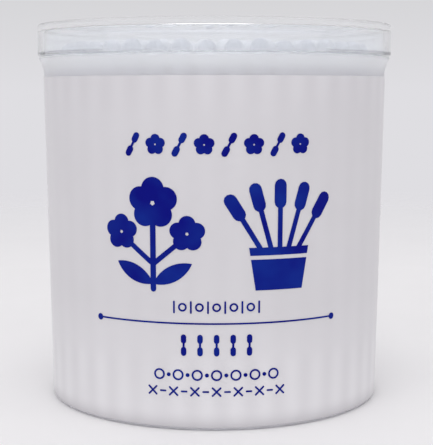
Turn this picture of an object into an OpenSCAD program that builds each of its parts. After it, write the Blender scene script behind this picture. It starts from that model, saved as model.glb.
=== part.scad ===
// Cotton swab tub
// A clear moulded tub with a press-on lid, a printed film wrapped round its wall, and 200 paper
// swabs standing inside. Millimetres. The origin is the centre of the foot, +Z is up, and the
// printed front faces -Y.

/* [Swabs] */
// Number of swabs that the tub is sold with; fewer if they don't fit
swab_count = 200; // [60:1:200]
// Length of the longest swab, over both cotton buds
swab_len = 76; // [60:0.5:95]
// How much shorter than that the shortest swab is
swab_spread = 0.6; // [0:0.1:1.5]
// Diameter of the paper stem
stem_d = 2.2; // [1.5:0.1:3]
// Diameter of a cotton bud, as squeezed by its neighbours
bud_d = 4.15; // [4.1:0.05:6]
// Length of a cotton bud
bud_len = 13.5; // [9:0.5:20]
// Length of the bud's round tip
bud_dome = 3.4; // [2:0.1:5]
// Cotton over the end of the stem
tip_cover = 2.4; // [1:0.1:4]
// Cotton round the stem where the bud ends
cuff = 0.3; // [0.1:0.05:0.6]
// Distance between the swabs of the outer ring, which stand looser than the rest
edge_pitch = 5.2; // [4.2:0.1:8]
// Air between two buds that stand side by side
bud_gap = 0.04; // [0.02:0.01:0.3]
// Air between the outer ring of buds and the foot of the wall
edge_gap = 0.15; // [0.1:0.05:1]
// Glue between the cotton and its stem
stem_glue = 0.02; // [0.01:0.01:0.1]
// Air under the swabs
stand_gap = 0.05; // [0.02:0.01:0.2]

/* [Tub] */
// Inner diameter of the tub at its mouth
mouth_d = 72.2; // [60:0.1:90]
// Draft of the wall, in degrees
draft = 1.05; // [0:0.05:2]
// Thickness of the wall below the shoulder
wall = 2; // [1.6:0.1:3]
// Height of the tub's floor above the table
floor_z = 2.6; // [2:0.1:4]
// Height of the hollow under the floor
foot_lift = 0.8; // [0.3:0.1:1.2]
// Width of the flat ring that the tub stands on
foot_w = 2; // [1:0.1:4]
// Rounding of the outer bottom edge
foot_round = 0.6; // [0.4:0.1:2]
// Rounding of the inner bottom edge
floor_round = 1; // [0.4:0.1:2]

/* [Neck] */
// Height of the rim above the tips of the swabs
rim_rise = 1.25; // [0.5:0.05:6]
// Height of the neck above the shoulder
neck_h = 4.5; // [3.5:0.1:8]
// Thickness of the neck
neck_wall = 1.2; // [0.9:0.05:1.8]
// Rounding of the rim
rim_round = 0.3; // [0.1:0.05:0.4]
// Height over which the wall flares out below the shoulder
flare_h = 4; // [2.5:0.1:8]
// Rounding of the shoulder
shoulder_round = 0.4; // [0.3:0.1:1.2]
// How far the snap bead stands out of the neck
bead_h = 0.25; // [0.1:0.05:0.4]
// Width of the snap bead's crest
bead_w = 0.4; // [0.2:0.1:0.8]
// Distance from the rim down to the middle of the bead
bead_drop = 0.8; // [0.6:0.05:1.2]

/* [Lid] */
// Thickness of the lid's flat top
lid_top = 1.35; // [0.8:0.05:2]
// Thickness of the lid's skirt
lid_wall = 1.45; // [0.9:0.05:2]
// Air between the snap bead and the skirt
lid_fit = 0.3; // [0.1:0.05:0.6]
// Air between the rim and the lid's top
lid_gap = 1.15; // [0.4:0.05:2]
// Air between the skirt and the shoulder
lid_seat = 0.3; // [0.1:0.05:0.8]
// How far the skirt stands out past the shoulder
lid_lip = 0.3; // [0:0.05:0.6]
// Rounding of the lid's top edge
lid_round = 0.3; // [0.2:0.1:0.9]
// Rounding of the skirt's lower edge
skirt_round = 0.2; // [0.1:0.05:0.4]
// Rounding inside, where the skirt meets the top
lid_fillet = 0.4; // [0.2:0.1:0.8]

/* [Label film] */
// Thickness of the printed film
film_t = 0.15; // [0.08:0.01:0.4]
// Glue between the wall and the film
film_glue = 0.02; // [0.01:0.01:0.1]
// Distance from the bottom rounding up to the film
film_foot = 0.1; // [0.1:0.1:10]
// Distance from the film up to the flare
film_head = 0.3; // [0.1:0.1:10]
// Width of the seam at the back
seam_w = 0.6; // [0.2:0.1:3]

/* [Print] */
// Thickness of the ink
ink_t = 0.06; // [0.03:0.01:0.2]
// Distance between the film and the ink
ink_lift = 0.01; // [0.005:0.005:0.05]
// Height of the film that the print is drawn for; the print grows and shrinks with the film
drawn_h = 70.4; // [67.5:0.1:120]
// Turn of the print round the tub, in degrees from the middle of the front
print_turn = 0.8; // [-180:0.1:180]
// Height of the band of small motifs, above the film's lower edge
band_z = 56.9; // [54:0.1:63.5]
// Distance between two motifs of the band
band_pitch = 4.95; // [4.6:0.05:6]
// Height of the two large motifs' centres
emblem_z = 39.1; // [37.8:0.1:42.5]
// Distance of each large motif from the middle of the front
emblem_side = 13.1; // [11.5:0.1:18]
// Width of a heavy stroke
stroke = 1.7; // [1:0.1:2.2]
// Width of a light stroke
hairline = 0.6; // [0.3:0.05:0.8]
// Height of the row of rings and ticks
ticks_z = 24.6; // [23.4:0.1:26.1]
// Height of the line with two round ends
rule_z = 21.3; // [19.7:0.1:22.7]
// Distance from the middle of the front to each round end
rule_reach = 26.3; // [10:0.1:40]
// Width of that line
rule_w = 0.34; // [0.2:0.02:0.8]
// Diameter of its round ends
rule_end_d = 1.35; // [0.8:0.05:2.4]
// Height of the row of upright swabs
tally_z = 16.9; // [14.4:0.1:18.7]
// Height of the row of rings and dots
beads_z = 10.8; // [9.6:0.1:13.1]
// Height of the row of crosses and dashes
stitch_z = 7.4; // [4.6:0.1:8.5]

/* [Hidden] */
$fn = 48;
// Facets round the large turned shapes
big_fn = 128;

// Heights, from the table up
stand_z = floor_z + stand_gap;
rim_z = stand_z + swab_len + rim_rise;
shoulder_z = rim_z - neck_h;
flare_z = shoulder_z - flare_h;
bead_z = rim_z - bead_drop;
lid_under = rim_z + lid_gap;
lid_z = lid_under + lid_top;
skirt_z = shoulder_z + lid_seat;
film_z0 = foot_round + film_foot;
film_z1 = flare_z - film_head;
film_h = film_z1 - film_z0;

// Radii
function inner_r(z) = mouth_d / 2 - (rim_z - z) * tan(draft);
function wall_r(z) = inner_r(z) + wall;
neck_r = mouth_d / 2 + neck_wall;
skirt_r = neck_r + bead_h + lid_fit;
lid_r = skirt_r + lid_wall;
shoulder_r = lid_r - lid_lip;
foot_r = wall_r(foot_round) - foot_round;
bundle_r = inner_r(stand_z) - edge_gap;

// Points of a round corner in the r-z plane, from angle a0 to a1 about (r, z)
function corner(r, z, size, a0, a1, steps = 6) = [
    for (i = [0:steps])
        let (a = a0 + (a1 - a0) * i / steps)
        [r + size * cos(a), z + size * sin(a)]
];

// Where the swabs stand: rings from the wall inwards, each holding as many buds as fit in it
bud_pitch = bud_d + bud_gap;
ring_count = floor((bundle_r - bud_d / 2) / bud_pitch) + 1;
function ring_r(i) = bundle_r - bud_d / 2 - i * bud_pitch;
function fit_count(r, pitch) = r < pitch / 2 ? 1 : floor(180 / asin(pitch / (2 * r)));
function ring_swabs(i) = fit_count(ring_r(i), i == 0 ? edge_pitch : bud_pitch);
// Each ring starts a golden angle further round, so that no rows line up
ring_turn = 137.5;
all_spots = [
    for (i = [0:ring_count - 1])
        let (n = ring_swabs(i), r = n == 1 ? 0 : ring_r(i))
        for (j = [0:n - 1]) [r, i * ring_turn + j * 360 / n]
];
spots = [for (k = [0:min(swab_count, len(all_spots)) - 1]) all_spots[k]];
// How much shorter swab k is: a share of the spread that never repeats
golden_share = 0.618;
function shortfall(k) = swab_spread * (k * golden_share - floor(k * golden_share));

// Swab k's children, standing at its place
module at_spot(k) {
    rotate([0, 0, spots[k][1]]) translate([spots[k][0], 0, 0]) children();
}

module every_spot() {
    for ($k = [0:len(spots) - 1]) at_spot($k) children();
}

// One cotton bud, tip down at z = 0, with the blind hole that its stem sits in
module bud() {
    tip_steps = 4;
    taper_steps = 3;
    // The dome starts this many degrees off its pole, which leaves a small flat to stand on
    flat = 18;
    cuff_r = stem_d / 2 + cuff;
    hole_r = stem_d / 2 + stem_glue;
    rotate_extrude() polygon(concat(
        [[0, 0]],
        [for (i = [0:tip_steps])
            let (a = flat + (90 - flat) * i / tip_steps)
            [bud_d / 2 * sin(a), bud_dome * (1 - cos(a) / cos(flat))]],
        [for (i = [1:taper_steps])
            let (t = i / taper_steps)
            [cuff_r + (bud_d / 2 - cuff_r) * cos(90 * t), bud_dome + (bud_len - bud_dome) * t]],
        [[hole_r, bud_len], [hole_r, tip_cover - stem_glue], [0, tip_cover - stem_glue]]
    ));
}

module paper_stems() {
    color("white") every_spot()
        translate([0, 0, stand_z + tip_cover])
            cylinder(d = stem_d, h = swab_len - shortfall($k) - 2 * tip_cover);
}

module lower_cotton_buds() {
    color("ghostwhite") every_spot() translate([0, 0, stand_z]) bud();
}

module upper_cotton_buds() {
    color("ghostwhite") every_spot()
        translate([0, 0, stand_z + swab_len - shortfall($k)]) rotate([180, 0, 0]) bud();
}

// The tub is one moulding: foot ring, floor, drafted wall, flared shoulder and neck
module tub() {
    flare_steps = 6;
    flare_top = shoulder_z - shoulder_round;
    // Where the flare runs into the shoulder's rounding, in degrees above level
    flare_end = 15;
    color([0.86, 0.88, 0.92, 0.45]) rotate_extrude($fn = big_fn) polygon(concat(
        [[0, foot_lift], [foot_r - foot_w - foot_lift, foot_lift], [foot_r - foot_w, 0]],
        corner(foot_r, foot_round, foot_round, -90, -draft),
        // The wall widens with the square of the height up the flare
        [for (i = [0:flare_steps])
            let (t = i / flare_steps, z = flare_z + (flare_top - flare_z) * t)
            [wall_r(flare_z) + (shoulder_r - wall_r(flare_z)) * t * t, z]],
        corner(shoulder_r - shoulder_round, flare_top, shoulder_round, flare_end, 90),
        [[neck_r, shoulder_z],
         [neck_r, bead_z - bead_w / 2 - bead_h],
         [neck_r + bead_h, bead_z - bead_w / 2],
         [neck_r + bead_h, bead_z + bead_w / 2]],
        corner(neck_r - rim_round, rim_z - rim_round, rim_round, 0, 90, 4),
        corner(mouth_d / 2 + rim_round, rim_z - rim_round, rim_round, 90, 180, 4),
        corner(inner_r(floor_z + floor_round) - floor_round, floor_z + floor_round, floor_round,
               -draft, -90),
        [[0, floor_z]]
    ));
}

// The lid is one moulding: a flat top with a short skirt that slips over the neck
module lid() {
    color([0.86, 0.88, 0.92, 0.45]) rotate_extrude($fn = big_fn) polygon(concat(
        [[0, lid_under]],
        corner(skirt_r - lid_fillet, lid_under - lid_fillet, lid_fillet, 90, 0, 4),
        corner(skirt_r + skirt_round, skirt_z + skirt_round, skirt_round, 180, 270, 4),
        corner(lid_r - skirt_round, skirt_z + skirt_round, skirt_round, -90, 0, 4),
        corner(lid_r - lid_round, lid_z - lid_round, lid_round, 0, 90),
        [[0, lid_z]]
    ));
}

// A shell that lies on the wall, from distance lo to hi off it, between the film's edges
module wall_shell(lo, hi, turn, start) {
    rotate_extrude(angle = turn, start = start, $fn = big_fn) polygon([
        [wall_r(film_z0) + lo, film_z0],
        [wall_r(film_z0) + hi, film_z0],
        [wall_r(film_z1) + hi, film_z1],
        [wall_r(film_z1) + lo, film_z1]
    ]);
}

// The film goes once round the wall and leaves a narrow seam at the back
module label_film() {
    seam = seam_w / wall_r(film_z1) * 180 / PI;
    color([0.88, 0.86, 0.9, 0.85])
        wall_shell(film_glue, film_glue + film_t, 360 - seam, 90 + seam / 2);
}

// Print scale: drawn millimetres to real ones
art = film_h / drawn_h;
// Distance of the ink's inner face off the wall
ink_lo = film_glue + film_t + ink_lift;
ink_r = wall_r(film_z1) + ink_lo;
// Depth of the blocks that the ink's outlines are cut from
ink_block = 3;

// A flat drawing printed on the film, x mm round the front and z mm above the film's lower edge
module on_film(x, z) {
    reach = 25;
    rotate([0, 0, x * art / ink_r * 180 / PI]) intersection() {
        wall_shell(ink_lo, ink_lo + ink_t, 2 * reach, -90 - reach);
        translate([0, ink_block - ink_r - ink_t, film_z0 + z * art])
            rotate([90, 0, 0]) linear_extrude(2 * ink_block) scale(art) children();
    }
}

// A straight stroke with round ends, as one outline
module bar(a, b, w) {
    end_steps = 6;
    lean = atan2(b[1] - a[1], b[0] - a[0]);
    polygon([
        for (end = [0, 1], i = [0:end_steps])
            let (turn = lean + 90 + end * 180 + 180 * i / end_steps)
            (end == 0 ? a : b) + w / 2 * [cos(turn), sin(turn)]
    ]);
}

module ring(r, w) {
    difference() {
        circle(r = r + w / 2);
        circle(r = r - w / 2);
    }
}

// A swab as a pictogram, standing on end: a thin stem with a round bud at each end
module swab_sign(height, stem_w, bud_w) {
    half = height / 2 - bud_w / 2;
    bud_reach = bud_w * 0.7;
    bar([0, -half], [0, half], stem_w);
    for (side = [-1, 1]) bar([0, side * half], [0, side * (half - bud_reach)], bud_w);
}

// A cotton boll as a pictogram: five round lobes about an open middle
module boll_sign(r) {
    lobes = 5;
    lobe_r = r * 0.46;
    for (i = [0:lobes - 1])
        rotate(90 + i * 360 / lobes) translate([r - lobe_r, 0]) circle(r = lobe_r);
}

// A leaf from the origin along +X, pointed at both ends
module leaf_sign(length, width) {
    bow_r = (length * length / 4 + width * width / 4) / width;
    translate([length / 2, 0]) intersection_for (side = [-1, 1])
        translate([0, side * (bow_r - width / 2)]) circle(r = bow_r);
}

// The left emblem: a sprig with one large boll, two small ones and two leaves
module sprig_emblem() {
    stalk_w = stroke * 0.7;
    twig_w = stroke * 0.6;
    stalk_foot = -11;
    fork_y = -6;
    leaf_y = -10;
    leaf_lean = 62;
    leaf_length = 9;
    leaf_w = 3.2;
    top_boll = 6.2;
    top_boll_r = 5.2;
    side_boll = [7, 0.2];
    side_boll_r = 3.6;
    twig_end = [5.4, -1.6];
    bar([0, stalk_foot], [0, top_boll - top_boll_r * 0.73], stalk_w);
    translate([0, top_boll]) boll_sign(top_boll_r);
    for (side = [-1, 1]) {
        bar([0, fork_y], [side * twig_end[0], twig_end[1]], twig_w);
        translate([side * side_boll[0], side_boll[1]]) boll_sign(side_boll_r);
        translate([0, leaf_y]) rotate(90 - side * leaf_lean) leaf_sign(leaf_length, leaf_w);
    }
}

// The right emblem: a cup with five swabs fanned out of it
module cup_emblem() {
    fan_step = 16;
    pivot_y = -9.4;
    fan_r = 20.4;
    fan_foot = -3.3;
    stem_w = stroke * 0.6;
    bud_w = stroke * 1.5;
    tip = fan_r - bud_w / 2;
    cup_foot = -11.2;
    cup_top = -2.6;
    cup_half = [5, 6.4];
    stripe_y = -5;
    stripe_w = 0.8;
    for (i = [-2:2])
        translate([0, pivot_y]) rotate(i * fan_step) {
            bar([0, (fan_foot - pivot_y) / cos(i * fan_step)], [0, tip], stem_w);
            bar([0, tip - bud_w * 1.3], [0, tip], bud_w);
        }
    difference() {
        polygon([
            [-cup_half[0], cup_foot], [cup_half[0], cup_foot],
            [cup_half[1], cup_top], [-cup_half[1], cup_top]
        ]);
        translate([-2 * cup_half[1], stripe_y]) square([4 * cup_half[1], stripe_w]);
    }
}

module emblem_rows() {
    band_half = 3.5;
    band_sign = 5.2;
    band_tilt = -28;
    on_film(-emblem_side, emblem_z) sprig_emblem();
    on_film(emblem_side, emblem_z) cup_emblem();
    // Tilted swabs and small bolls in turn
    for (i = [-band_half:band_half])
        on_film(i * band_pitch, band_z)
            if (floor(i + band_half) % 2 == 0)
                rotate(band_tilt) swab_sign(band_sign, hairline * 0.8, band_sign / 4);
            else boll_sign(band_sign * 0.4);
}

module small_rows() {
    fine = hairline * 0.6;
    ticks_pitch = 1.75;
    ticks_ring = 0.7;
    tick = 1.1;
    tally_pitch = 3.4;
    tally_sign = 4.4;
    beads_pitch = 2;
    beads_ring = 0.95;
    bead_d = 0.8;
    stitch_pitch = 2.25;
    cross = 0.8;
    dash = 0.5;
    // Rings between upright ticks
    for (i = [-5:5])
        on_film(i * ticks_pitch, ticks_z)
            if (i % 2 == 0) ring(ticks_ring, fine);
            else bar([0, -tick], [0, tick], fine);
    for (i = [-2:2])
        on_film(i * tally_pitch, tally_z) swab_sign(tally_sign, hairline * 0.7, tally_sign / 4);
    // Rings between dots
    for (i = [-6:6])
        on_film(i * beads_pitch, beads_z)
            if (i % 2 == 0) ring(beads_ring, fine);
            else circle(d = bead_d);
    // Crosses between dashes
    for (i = [-6:6])
        on_film(i * stitch_pitch, stitch_z)
            if (i % 2 == 0) for (side = [-1, 1])
                bar([-cross, -side * cross], [cross, side * cross], fine);
            else bar([-dash, 0], [dash, 0], fine);
}

// The line with two round ends runs level round the front and stops just short of the ends
module rule() {
    end_gap = 0.06;
    turn = (rule_reach - rule_end_d / 2 - end_gap) * art / ink_r * 180 / PI;
    intersection() {
        wall_shell(ink_lo, ink_lo + ink_t, 2 * turn, -90 - turn);
        translate([0, 0, film_z0 + (rule_z - rule_w / 2) * art])
            cylinder(r = lid_r, h = rule_w * art);
    }
    for (side = [-1, 1]) on_film(side * rule_reach, rule_z) circle(d = rule_end_d);
}

// Everything that is printed, as a thin layer of ink on the film
module label_print() {
    color("midnightblue") rotate([0, 0, print_turn]) {
        emblem_rows();
        small_rows();
        rule();
    }
}

tub();
label_film();
label_print();
paper_stems();
lower_cotton_buds();
upper_cotton_buds();
lid();
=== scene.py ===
"""Looks for the cotton swab tub: clear tub and lid, translucent film, blue print, paper stems and buds.

Lengths are worked out in millimetres, as in the part's source, and become metres when a mesh is made.
"""
import math

import bpy
import numpy as np
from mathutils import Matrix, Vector


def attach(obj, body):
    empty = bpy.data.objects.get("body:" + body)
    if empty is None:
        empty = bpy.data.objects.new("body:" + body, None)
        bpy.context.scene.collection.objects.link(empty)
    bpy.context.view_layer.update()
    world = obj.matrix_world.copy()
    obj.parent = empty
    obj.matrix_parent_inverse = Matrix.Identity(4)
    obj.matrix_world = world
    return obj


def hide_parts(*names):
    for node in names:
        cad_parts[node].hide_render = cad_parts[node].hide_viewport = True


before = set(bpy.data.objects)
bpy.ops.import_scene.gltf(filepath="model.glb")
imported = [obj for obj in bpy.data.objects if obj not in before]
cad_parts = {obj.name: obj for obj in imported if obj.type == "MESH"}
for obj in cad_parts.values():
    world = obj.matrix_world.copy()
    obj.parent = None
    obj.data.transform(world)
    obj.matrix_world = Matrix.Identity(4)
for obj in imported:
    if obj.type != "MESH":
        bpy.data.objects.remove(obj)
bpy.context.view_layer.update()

# ---- Sizes in millimetres, the same as in the part's source ----

SWAB_COUNT, SWAB_LEN, SWAB_SPREAD = 200, 76.0, 0.6
STEM_D, BUD_D, BUD_LEN, TIP_COVER = 2.2, 4.15, 13.5, 2.4
EDGE_PITCH, BUD_PITCH, EDGE_GAP = 5.2, 4.19, 0.15
MOUTH_R, DRAFT, WALL = 36.1, math.radians(1.05), 2.0
FLOOR_Z, FOOT_LIFT, FOOT_W, FOOT_ROUND, FLOOR_ROUND = 2.6, 0.8, 2.0, 0.6, 1.0
STAND_Z, RIM_Z, SHOULDER_Z, FLARE_Z = 2.65, 79.9, 75.4, 71.4
NECK_R, SHOULDER_R, SHOULDER_ROUND, RIM_ROUND = 37.3, 39.0, 0.4, 0.3
BEAD_H, BEAD_W, BEAD_Z = 0.25, 0.4, 79.1
LID_UNDER, LID_Z, SKIRT_Z, SKIRT_R, LID_R = 81.05, 82.4, 75.7, 37.85, 39.3
LID_ROUND, SKIRT_ROUND, LID_FILLET = 0.3, 0.2, 0.4
FILM_GLUE, FILM_T, FILM_LOW, FILM_HIGH, SEAM_W = 0.02, 0.15, 0.7, 71.1, 0.6

# Each ring of swabs is turned on from the last by this many degrees, and each swab's length goes on from
# the last one's by this share of the spread.
RING_TURN, LENGTH_STEP = 137.5, 0.618

# Seeds of the paper's turns and of the lower and upper buds' shapes
PAPER_SEED, LOWER_SEED, UPPER_SEED = 3, 11, 12

# Steps round the tub and lid, round and up the film, and round a stem, a bud and the floor's disc
TUB_SIDES, FILM_STEPS, FILM_ROWS, STEM_SIDES, BUD_SIDES, DISC_SIDES = 192, 240, 24, 16, 10, 64


def inner_r(z):
    """The wall's inner radius at a height: the mouth's, less the draft from the rim down."""
    return MOUTH_R - (RIM_Z - z) * math.tan(DRAFT)


def wall_r(z):
    """The wall's outer radius at a height."""
    return inner_r(z) + WALL


def ring_holds(r, pitch):
    """How many swabs stand a pitch apart on a ring: the full turn over the angle whose chord is the pitch."""
    return 1 if r < pitch / 2 else math.floor(math.pi / math.asin(pitch / 2 / r))


EDGE_R = inner_r(STAND_Z) - EDGE_GAP - BUD_D / 2
EDGE_SWABS = ring_holds(EDGE_R, EDGE_PITCH)

# ---- Shader maths ----


def pick(sockets, key):
    """The socket with that number, identifier or name."""
    if isinstance(key, int):
        return sockets[key]
    named = [s for s in sockets if s.identifier == key]
    return named[0] if named else sockets[key]


class Wire:
    """One output of a shader tree. Arithmetic on it adds Math nodes; node() adds any other node."""

    def __init__(self, tree, socket=None):
        self.tree, self.socket = tree, socket

    def node(self, kind, links=None, out=0, **settings):
        """Adds a node, sets its settings and its inputs, to numbers or wires, and returns one output."""
        n = self.tree.nodes.new("ShaderNode" + kind)
        for name, value in settings.items():
            setattr(n, name, value)
        for key, value in (links or {}).items():
            if isinstance(value, Wire):
                self.tree.links.new(value.socket, pick(n.inputs, key))
            else:
                pick(n.inputs, key).default_value = value
        return Wire(self.tree, pick(n.outputs, out) if n.outputs else None)

    def math(self, operation, *values):
        return self.node("Math", dict(enumerate(values)), operation=operation)

    def __add__(self, other):
        return self.math("ADD", self, other)

    def __mul__(self, other):
        return self.math("MULTIPLY", self, other)

    def __sub__(self, other):
        return self.math("SUBTRACT", self, other)

    def __rsub__(self, other):
        return self.math("SUBTRACT", other, self)

    __radd__, __rmul__ = __add__, __mul__

    def clamped(self):
        return self.math("MINIMUM", self.math("MAXIMUM", self, 0.0), 1.0)

    def between(self, nought, one):
        """0 where this is at nought or before it, 1 where it is at one or past it, and straight between."""
        return ((self - nought) * (1 / (one - nought))).clamped()

    def shade(self, low, high):
        """The colour low where this is 0 and high where it is 1."""
        colours = {"Factor_Float": self, "A_Color": low, "B_Color": high}
        return self.node("Mix", colours, "Result_Color", data_type="RGBA")

    def xyz(self):
        """The three numbers of this vector."""
        split = self.node("SeparateXYZ", {0: self}).socket.node
        return [Wire(self.tree, socket) for socket in split.outputs]

    def noise(self, scale, detail=3.0, roughness=0.5, stretch=(1, 1, 1)):
        """Noise over Object coordinates: scale cells to a metre, times the stretch along each axis."""
        place = self.node("TexCoord", out="Object")
        place = self.node("Mapping", {"Vector": place, "Scale": stretch})
        look = {"Vector": place, "Scale": scale, "Detail": detail, "Roughness": roughness}
        return self.node("TexNoise", look, "Fac")

    def bump(self, depth):
        """A Normal from this height, where 1 stands depth millimetres out of the surface."""
        return self.node("Bump", {"Height": self, "Distance": depth / 1000})


def rgb(*values):
    """sRGB values from 0 to 255 as a linear colour: a straight line near black, and a power above it."""
    shares = [value / 255 for value in values]
    return (*[s / 12.92 if s <= 0.04045 else ((s + 0.055) / 1.055) ** 2.4 for s in shares], 1.0)


def new_tree(name):
    """An empty material, and the start of its tree."""
    made = bpy.data.materials.new(name)
    made.use_nodes = True
    made.node_tree.nodes.clear()
    return made, Wire(made.node_tree)


def object_place(start):
    """The x, y and z of the point being shaded, in millimetres in the object's own frame."""
    return [part * 1000 for part in start.node("TexCoord", out="Object").xyz()]


def let_lamps_through(start, surface, tint):
    """The surface shader, except that rays to the lamps pass straight through it, tinted."""
    lamp_ray = start.node("LightPath", out="Is Shadow Ray")
    clear = start.node("BsdfTransparent", {"Color": tint})
    return start.node("MixShader", {0: lamp_ray, 1: surface, 2: clear})


def surfaced(made, start, look, lamp_tint=None):
    """The material with a Principled surface of this look. With a tint, it lets rays to the lamps through."""
    surface = start.node("BsdfPrincipled", look)
    if lamp_tint:
        surface = let_lamps_through(start, surface, lamp_tint)
    start.node("OutputMaterial", {"Surface": surface})
    return made


# ---- Materials ----


def clear_plastic(name, haze, frost, clearness, full, thin, lamp_tint):
    """Clear moulded plastic, a little milky, with faint flow marks in the surface and fine scuffs.

    Between the two heights in full it is frosted and shows at full strength. Above and below them it is
    polished and shows thinly, at the share thin. Below the tub's flare it is a little greyer: painted shade,
    for the shade that the buds and stems stand in behind the wall.
    """
    made, start = new_tree(name)
    flow = start.noise(90, 2, 0.5, (1, 1, 0.35))
    rubbed = start.noise(700, 4, 0.6).between(0.5, 0.7)
    height = object_place(start)[2]
    low, high = full
    half = (high - low) / 2
    polished = start.math("ABSOLUTE", height - (low + half)).between(half, half + 0.333)
    # Painted shade: the base colour greys below the flare, for the shade that the buds and stems stand in.
    painted_shade_below_flare = height.between(FLARE_Z + 2.2, FLARE_Z + 0.53)
    look = {
        "Base Color": painted_shade_below_flare.shade(rgb(253, 254, 255), rgb(243, 243, 246)),
        "Roughness": rubbed * 0.03 + haze + (1 - polished) * frost,
        "IOR": 1.5,
        "Alpha": 1 - polished * (1 - thin),
        "Transmission Weight": clearness,
        "Normal": flow.bump(0.04),
    }
    return surfaced(made, start, look, lamp_tint)


def frosted_film():
    """Translucent printed film: milky, faintly lilac and cloudy, with shallow ripples from being wrapped.

    Painted light and shade: soft upright bands where the swabs stand behind it, strongest along their buds.
    Painted light makes it lighter along the lower buds, and painted shade makes it greyer in the last few
    millimetres above the foot.
    """
    made, start = new_tree("frosted_film")
    clouds = start.noise(60, 3)
    ripples = start.noise(160, 2, 0.5, (1, 1, 0.25))
    grain = start.noise(2500, 2)
    x, y, height = object_place(start)
    # Painted light and shade: upright bands, lighter and darker round the wall at the swabs' pitch, strongest
    # along the buds.
    swab_light = start.math("COSINE", start.math("ARCTAN2", y, x) * EDGE_SWABS)
    lower_end, upper_end = STAND_Z + BUD_LEN, SWAB_LEN - BUD_LEN
    along_buds = height.between(lower_end, lower_end - 3.33) + height.between(upper_end, upper_end + 10)
    painted_swab_bands = swab_light * (along_buds * 0.12 + 0.03) * start.noise(60, 2).between(0.167, 0.5)
    # Painted light: lighter below 25 mm. Painted shade: greyer in the last 4.35 mm above the foot.
    painted_light_low_down, painted_shade_near_foot = height.between(25, 0), height.between(4.35, 0)
    tone = (clouds - 0.5) * 0.3 + painted_swab_bands + painted_light_low_down * 0.6 + 0.2
    milky_with_painted_light = tone.clamped().shade(rgb(221, 219, 222), rgb(244, 243, 245))
    look = {
        # Painted shade: the base colour greys towards the foot.
        "Base Color": (painted_shade_near_foot * painted_shade_near_foot).shade(milky_with_painted_light, rgb(192, 189, 193)),
        "Roughness": grain * 0.1 + 0.36,
        "IOR": 1.45,
        "Alpha": 0.82,
        "Sheen Weight": 0.35,
        "Sheen Roughness": 0.35,
        "Normal": (ripples + grain * 0.02).bump(0.03),
    }
    return surfaced(made, start, look, (0.72, 0.7, 0.73, 1))


def print_ink():
    """Blue ink, drying a little lighter and darker from place to place."""
    made, start = new_tree("print_ink")
    tone = start.noise(120, 2).between(0.35, 0.683)
    look = {
        "Base Color": tone.shade(rgb(2, 8, 122), rgb(10, 40, 138)),
        "Roughness": start.noise(1800, 3) * 0.15 + 0.5,
        "Specular IOR Level": 0.08,
        "Normal": start.noise(3000, 2).bump(0.01),
    }
    return surfaced(made, start, look)


def rolled_paper():
    """White paper rolled into a stick: the edge of the strip winds round it as a fine dark line."""
    made, start = new_tree("rolled_paper")
    around, along, _ = start.node("UVMap", uv_map="round_and_along").xyz()
    turn = start.math("FRACT", around + along * 0.09)
    seam = start.math("ABSOLUTE", turn - 0.5).between(0.0714, 0)
    fibre = start.noise(2500, 4, 0.6)
    look = {
        "Base Color": (seam * 0.6 + fibre * 0.3).shade(rgb(238, 236, 232), rgb(205, 201, 195)),
        "Roughness": 0.85,
        "Normal": (fibre * 0.5 - seam).bump(0.05),
    }
    return surfaced(made, start, look)


def wound_cotton():
    """Cotton wool wound on the stick: matt white, with soft tufts, fine fibres and a light sheen.

    The tips of the outer ring, at both ends, are a little greyer: painted shade, where less light reaches
    them.
    """
    made, start = new_tree("wound_cotton")
    tufts = start.noise(900, 3, 0.6)
    fibres = start.noise(3800, 4, 0.7, (1, 1, 0.5))
    x, y, height = object_place(start)
    off_middle = start.math("ABSOLUTE", height - (STAND_Z + SWAB_LEN / 2))
    # Painted shade: the last few millimetres at each end of the outer ring's buds are greyer.
    painted_shade_tip = off_middle.between(SWAB_LEN / 2 - 3.5, SWAB_LEN / 2 - 1.5)
    outer_ring = start.math("SQRT", x * x + y * y).between(EDGE_R - 2.66, EDGE_R - 1.66)
    tone = (tufts * 0.6 + 0.45 - painted_shade_tip * outer_ring * 0.65).clamped()
    look = {
        "Base Color": tone.shade(rgb(206, 208, 214), rgb(244, 245, 247)),
        "Roughness": 0.95,
        "Sheen Weight": 0.1,
        "Sheen Roughness": 0.5,
        "Normal": (tufts + fibres * 0.5).bump(0.3),
    }
    return surfaced(made, start, look)


# ---- Surfaces ----


def arc(r, z, size, a0, a1, steps=8):
    """Points of an arc about (r, z): the centre plus size times the cosine and sine of evenly set angles."""
    a = np.radians(np.linspace(a0, a1, steps + 1))
    return np.stack([r + size * np.cos(a), z + size * np.sin(a)], 1)


def supported(profile, gap=0.04):
    """Adds a point gap away from each end of every long edge, so that smooth shading stays in the roundings.

    The point is the end plus gap times the edge's unit direction.
    """
    points = np.asarray(profile, float)
    out = [points[:1]]
    for a, b in zip(points[:-1], points[1:]):
        length = np.linalg.norm(b - a)
        if length > 6 * gap:
            step = (b - a) / length * gap
            out.append([a + step, b - step])
        out.append([b])
    return np.concatenate(out)


def rows_of_quads(rows, columns):
    """Quads between rows of points, each row closed: (i, j), (i, j+1), (i+1, j+1), (i+1, j)."""
    i, j = np.meshgrid(np.arange(rows - 1) * columns, np.arange(columns), indexing="ij")
    k = (j + 1) % columns
    return np.stack([i + j, i + k, i + columns + k, i + columns + j], 2).reshape(-1, 4)


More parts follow.
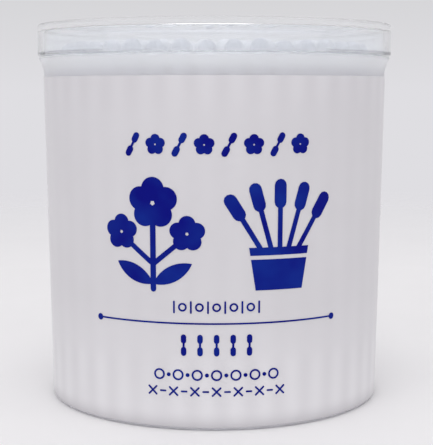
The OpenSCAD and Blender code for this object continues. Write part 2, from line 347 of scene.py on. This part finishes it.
def turned(profile, turns):
    """A profile turned about the Z axis: x = r cos t, y = r sin t, z = z, for t evenly round the circle.

    The profile starts and ends on the axis, where its rings shrink to one point each.
    """
    t = np.arange(turns) * 2 * np.pi / turns
    inner = profile[1:-1]
    rings = np.stack(
        [inner[:, :1] * np.cos(t), inner[:, :1] * np.sin(t), np.repeat(inner[:, 1:], turns, 1)], 2
    ).reshape(-1, 3)
    ends = np.array([[0, 0, profile[0][1]], [0, 0, profile[-1][1]]])
    first, last = len(rings), len(rings) + 1
    here = np.arange(turns)
    following = (here + 1) % turns
    top = (len(inner) - 1) * turns
    fans = [
        np.stack([np.full(turns, first), following, here], 1),
        np.stack([top + here, top + following, np.full(turns, last)], 1),
    ]
    return np.concatenate([rings, ends]), [rows_of_quads(len(inner), turns), *fans]


def swept_loop(loop, angles):
    """A closed loop in the r-z plane carried round the Z axis through the angles, with both ends closed.

    x = r cos t, y = r sin t, z = z; each end is one face across the loop.
    """
    n, m = len(loop), len(angles)
    r, z = loop[:, 0][None, :], loop[:, 1][None, :]
    t = angles[:, None]
    points = np.stack([r * np.cos(t), r * np.sin(t), np.repeat(z, m, 0)], 2).reshape(-1, 3)
    caps = [np.arange(n)[::-1][None], np.arange((m - 1) * n, m * n)[None]]
    return points, [rows_of_quads(m, n), *caps]


def add_piece(name, points, faces, material, uv=None, sharp=None):
    """A smooth mesh object from points in millimetres and lists of faces, with its faces pointing out.

    They do when the sum of each triangle's corner times the cross product of its edges is positive.
    Edges of more than sharp degrees stay sharp.
    """
    mesh = bpy.data.meshes.new(name)
    p = np.asarray(points, float)
    tris = np.concatenate([f[:, [0, a, a + 1]] for f in faces for a in range(1, f.shape[1] - 1)])
    a, b, c = p[tris[:, 0]], p[tris[:, 1]], p[tris[:, 2]]
    if (a * np.cross(b - a, c - a)).sum() < 0:
        faces = [f[:, ::-1] for f in faces]
    mesh.from_pydata((p / 1000).tolist(), [], [row for f in faces for row in f.tolist()])
    mesh.shade_smooth()
    if sharp:
        mesh.set_sharp_from_angle(angle=math.radians(sharp))
    if uv is not None:
        layer = mesh.uv_layers.new(name="round_and_along")
        corner = np.zeros(len(mesh.loops), np.int32)
        mesh.loops.foreach_get("vertex_index", corner)
        layer.data.foreach_set("uv", uv[corner].astype(np.float32).ravel())
    mesh.materials.append(material)
    made = bpy.data.objects.new(name, mesh)
    bpy.context.scene.collection.objects.link(made)
    return made


def dress(piece, body, node):
    """The piece stands for the node, whose own mesh is hidden, and moves with the body."""
    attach(piece, body)
    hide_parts(node)


# ---- Tub, lid and film ----


def tub_profile():
    """The tub's section: from the underside's middle out, up the wall, over the rim, down to the floor."""
    foot_r = wall_r(FOOT_ROUND) - FOOT_ROUND
    degrees = math.degrees(DRAFT)
    flare_top = SHOULDER_Z - SHOULDER_ROUND
    t = np.linspace(0, 1, 13)
    flare = np.stack(
        [wall_r(FLARE_Z) + (SHOULDER_R - wall_r(FLARE_Z)) * t**2, FLARE_Z + (flare_top - FLARE_Z) * t], 1
    )
    corner_z = FLOOR_Z + FLOOR_ROUND
    return supported(
        np.concatenate(
            [
                [[0, FOOT_LIFT], [foot_r - FOOT_W - FOOT_LIFT, FOOT_LIFT], [foot_r - FOOT_W, 0]],
                arc(foot_r, FOOT_ROUND, FOOT_ROUND, -90, -degrees),
                flare,
                arc(SHOULDER_R - SHOULDER_ROUND, flare_top, SHOULDER_ROUND, 15, 90),
                [
                    [NECK_R, SHOULDER_Z],
                    [NECK_R, BEAD_Z - BEAD_W / 2 - BEAD_H],
                    [NECK_R + BEAD_H, BEAD_Z - BEAD_W / 2],
                    [NECK_R + BEAD_H, BEAD_Z + BEAD_W / 2],
                ],
                arc(NECK_R - RIM_ROUND, RIM_Z - RIM_ROUND, RIM_ROUND, 0, 90),
                arc(MOUTH_R + RIM_ROUND, RIM_Z - RIM_ROUND, RIM_ROUND, 90, 180),
                arc(inner_r(corner_z) - FLOOR_ROUND, corner_z, FLOOR_ROUND, -degrees, -90),
                [[0, FLOOR_Z]],
            ]
        )
    )


def lid_profile():
    """The lid's section: from the underside's middle down inside the skirt, round it and over the top."""
    return supported(
        np.concatenate(
            [
                [[0, LID_UNDER]],
                arc(SKIRT_R - LID_FILLET, LID_UNDER - LID_FILLET, LID_FILLET, 90, 0),
                arc(SKIRT_R + SKIRT_ROUND, SKIRT_Z + SKIRT_ROUND, SKIRT_ROUND, 180, 270),
                arc(LID_R - SKIRT_ROUND, SKIRT_Z + SKIRT_ROUND, SKIRT_ROUND, -90, 0),
                arc(LID_R - LID_ROUND, LID_Z - LID_ROUND, LID_ROUND, 0, 90),
                [[0, LID_Z]],
            ]
        )
    )


def film_shell():
    """The film's section, a thin strip on the wall's slope, carried once round but for the seam's width."""
    rows = np.linspace(FILM_LOW, FILM_HIGH, FILM_ROWS)
    outside = np.stack([wall_r(rows) + FILM_GLUE + FILM_T, rows], 1)
    inside = np.stack([wall_r(rows) + FILM_GLUE, rows], 1)[::-1]
    half_seam = SEAM_W / wall_r(FILM_HIGH) / 2
    angles = np.pi / 2 + np.linspace(half_seam, 2 * np.pi - half_seam, FILM_STEPS + 1)
    return swept_loop(np.concatenate([outside, inside]), angles)


tub_plastic = clear_plastic(
    "clear_tub_plastic",
    haze=0.05,
    frost=0.25,
    clearness=0.6,
    full=(-80, SHOULDER_Z + 0.1),
    thin=0.3,
    lamp_tint=(0.97, 0.975, 0.98, 1),
)
tub = add_piece("clear_tub", *turned(tub_profile(), TUB_SIDES), tub_plastic, sharp=35)
dress(tub, "tub", "tub")

lid_plastic = clear_plastic(
    "clear_lid_plastic",
    haze=0.03,
    frost=0.0,
    clearness=0.95,
    full=(SKIRT_Z + 0.75, LID_Z - 0.75),
    thin=0.45,
    lamp_tint=(0.78, 0.8, 0.84, 1),
)
lid = add_piece("clear_lid", *turned(lid_profile(), TUB_SIDES), lid_plastic, sharp=35)
dress(lid, "lid", "lid")

film = add_piece("wrapped_film", *film_shell(), frosted_film(), sharp=60)
dress(film, "tub", "label_film")

# ---- Swabs ----


def swab_spots():
    """Where the swabs stand, as (ring radius, angle): rings one bud apart, each as full as it can be."""
    spots = []
    ring = 0
    while len(spots) < SWAB_COUNT and EDGE_R - ring * BUD_PITCH >= 0:
        r = EDGE_R - ring * BUD_PITCH
        count = ring_holds(r, BUD_PITCH if ring else EDGE_PITCH)
        degrees = ring * RING_TURN + np.arange(count) * 360 / count
        spots += [(0 if count == 1 else r, angle) for angle in np.radians(degrees)]
        ring += 1
    return np.array(spots[:SWAB_COUNT])


def placed(shapes, spots):
    """Copies of a shape stood at the spots, each turned so that its x axis points outwards.

    shapes is (copies, points, 3). The ring's radius is added to x, and then x and y go through the turn.
    """
    r, t = spots[:, 0][:, None], spots[:, 1][:, None]
    x, y = shapes[:, :, 0] + r, shapes[:, :, 1]
    return np.stack([x * np.cos(t) - y * np.sin(t), x * np.sin(t) + y * np.cos(t), shapes[:, :, 2]], 2)


def many(shape_faces, copies, points_each):
    """One copy's faces repeated for every copy, with the point numbers moved on by points_each a time."""
    shift = np.arange(copies)[:, None, None] * points_each
    return [(f[None] + shift).reshape(-1, f.shape[1]) for f in shape_faces]


def stems(spots, short):
    """Paper sticks: a tube from inside one bud to inside the other, with round-and-along coordinates."""
    sides, copies = STEM_SIDES, len(spots)
    t = np.arange(sides + 1) * 2 * np.pi / sides
    shape = np.zeros((copies, 2, sides + 1, 3))
    shape[..., :2] = np.stack([np.cos(t), np.sin(t)], 1) * STEM_D / 2
    shape[:, 0, :, 2] = STAND_Z + TIP_COVER
    shape[:, 1, :, 2] = (SWAB_LEN + STAND_Z - TIP_COVER - short)[:, None]
    j = np.arange(sides)
    wall = np.stack([j, j + 1, sides + 2 + j, sides + 1 + j], 1)
    ends = [j[::-1][None], (sides + 1 + j)[None]]
    points = placed(shape.reshape(copies, -1, 3), spots).reshape(-1, 3)
    lead = np.random.default_rng(PAPER_SEED).random(copies)[:, None, None]
    around = np.broadcast_to(t / (2 * np.pi), (copies, 2, sides + 1)) + lead
    uv = np.stack([around, shape[..., 2]], 3).reshape(-1, 2)
    return points, many([wall, *ends], copies, 2 * (sides + 1)), uv


def buds(spots, tips, up, seed):
    """Cotton buds, up or down from their tips. Ring i has radius R_i and is z_i off the tip.

    Each copy's radius is R_i (1 + a cos 2(t - p) + b cos 3(t - q)) with its own small a, b, p and q, so
    that no two are alike.
    """
    rings = np.array([[0.95, 0.15], [1.72, 1.1], [2.07, 3.0], [2.05, 6.6], [1.68, 10.9], [1.36, BUD_LEN]])
    sides, copies = BUD_SIDES, len(spots)
    most = np.array([0.07, 0.05, 6.3, 6.3])[:, None, None, None]
    a, b, p, q = (np.random.default_rng(seed).random((4, copies, 1, 1)) - 0.5) * most
    t = np.arange(sides) * 2 * np.pi / sides
    radius = rings[:, 0][None, :, None] * (1 + a * np.cos(2 * (t - p)) + b * np.cos(3 * (t - q)))
    off_tip = rings[:, 1][None, :, None] * (1 if up else -1)
    height = np.broadcast_to(tips[:, None, None] + off_tip, radius.shape)
    shape = np.stack([radius * np.cos(t), radius * np.sin(t), height], 3).reshape(copies, -1, 3)
    tip = np.zeros((copies, 1, 3))
    tip[:, 0, 2] = tips
    points = placed(np.concatenate([shape, tip], 1), spots).reshape(-1, 3)
    each = len(rings) * sides + 1
    j = np.arange(sides)
    fan = np.stack([np.full(sides, each - 1), (j + 1) % sides, j], 1)
    back = ((len(rings) - 1) * sides + j)[None]
    return points, many([rows_of_quads(len(rings), sides), fan, back], copies, each)


spots = swab_spots()
short = SWAB_SPREAD * (np.arange(len(spots)) * LENGTH_STEP % 1)
points, faces, uv = stems(spots, short)
sticks = add_piece("paper_sticks", points, faces, rolled_paper(), uv, sharp=50)
dress(sticks, "tub", "paper_stems")

cotton = wound_cotton()
lower_tips, upper_tips = np.full(len(spots), STAND_Z), STAND_Z + SWAB_LEN - short
below = add_piece("cotton_buds_below", *buds(spots, lower_tips, True, LOWER_SEED), cotton, sharp=60)
dress(below, "tub", "lower_cotton_buds")
above = add_piece("cotton_buds_above", *buds(spots, upper_tips, False, UPPER_SEED), cotton, sharp=60)
dress(above, "tub", "upper_cotton_buds")

# ---- Print: the CAD node keeps its shape and gets its ink ----

ink = print_ink()
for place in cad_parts["label_print"].material_slots:
    place.material = ink

# ---- Floor, light and camera ----

# The floor's disc and the lens in millimetres, the lamps' and the camera's places in metres, tilt in degrees
DISC_R, DISC_Z, LENS, SENSOR = 3000, -0.02, 95.56, 36.0
CAMERA_PLACE, CAMERA_TILT = (0.000494, -0.26828, 0.0681), 6.37


def pale_floor():
    """A pale matt floor with faint mottling. For the camera it fades into the background far from the tub."""
    made, start = new_tree("pale_floor")
    mottle = start.noise(30, 4)
    look = {
        "Base Color": mottle.shade(rgb(236, 235, 235), rgb(240, 239, 239)),
        "Roughness": mottle * 0.1 + 0.55,
        "Specular IOR Level": 0.2,
    }
    surface = start.node("BsdfPrincipled", look)
    place = start.node("TexCoord", out="Object")
    away = start.node("VectorMath", {0: place}, "Value", operation="LENGTH")
    fade = away.between(0.2, 0.533) * start.node("LightPath", out="Is Camera Ray")
    clear = start.node("BsdfTransparent", {"Color": (1, 1, 1, 1)})
    start.node("OutputMaterial", {"Surface": start.node("MixShader", {0: fade, 1: surface, 2: clear})})
    return made


def area_lamp(name, place, aim, size, power):
    """A rectangular soft lamp at place, facing the point aim, of that size in metres and power in watts."""
    lamp = bpy.data.lights.new(name, "AREA")
    lamp.shape, lamp.size, lamp.size_y = "RECTANGLE", *size
    lamp.energy = power
    made = bpy.data.objects.new(name, lamp)
    bpy.context.scene.collection.objects.link(made)
    made.location = place
    made.rotation_euler = (Vector(aim) - Vector(place)).to_track_quat("-Z", "Y").to_euler()


t = np.arange(DISC_SIDES) * 2 * np.pi / DISC_SIDES
disc = np.stack([DISC_R * np.cos(t), DISC_R * np.sin(t), np.full(DISC_SIDES, DISC_Z)], 1)
add_piece("pale_floor", disc, [np.arange(DISC_SIDES)[None]], pale_floor())

area_lamp("softbox_over", place=(-0.01, -0.15, 0.85), aim=(0, 0, 0.05), size=(0.34, 0.34), power=1.2)
area_lamp("softbox_front", place=(-0.1, -0.75, 0.62), aim=(0, 0, 0.06), size=(1.2, 0.8), power=1.5)

world = bpy.data.worlds.new("soft_room")
bpy.context.scene.world = world
world.use_nodes = True
world.node_tree.nodes.clear()
start = Wire(world.node_tree)
height = start.node("TexCoord", out="Generated").xyz()[2]
sky = height.between(0, 1 / 9).shade(rgb(223, 222, 226), rgb(210, 210, 212))
seen = start.node("LightPath", out="Is Camera Ray") + start.node("LightPath", out="Is Glossy Ray")
seen = (seen + start.node("LightPath", out="Is Transmission Ray")).clamped()
sky = seen.shade(rgb(232, 231, 234), sky)
start.node("OutputWorld", {"Surface": start.node("Background", {"Color": sky, "Strength": 1.0})})

camera_data = bpy.data.cameras.new("camera")
camera_data.sensor_width, camera_data.lens = SENSOR, LENS
camera_data.clip_start, camera_data.clip_end = 0.01, 20.0
camera = bpy.data.objects.new("camera", camera_data)
bpy.context.scene.collection.objects.link(camera)
camera.location = CAMERA_PLACE
camera.rotation_euler = (math.radians(90 - CAMERA_TILT), 0, 0)
bpy.context.scene.camera = camera

bpy.context.scene.view_settings.view_transform = "Standard"
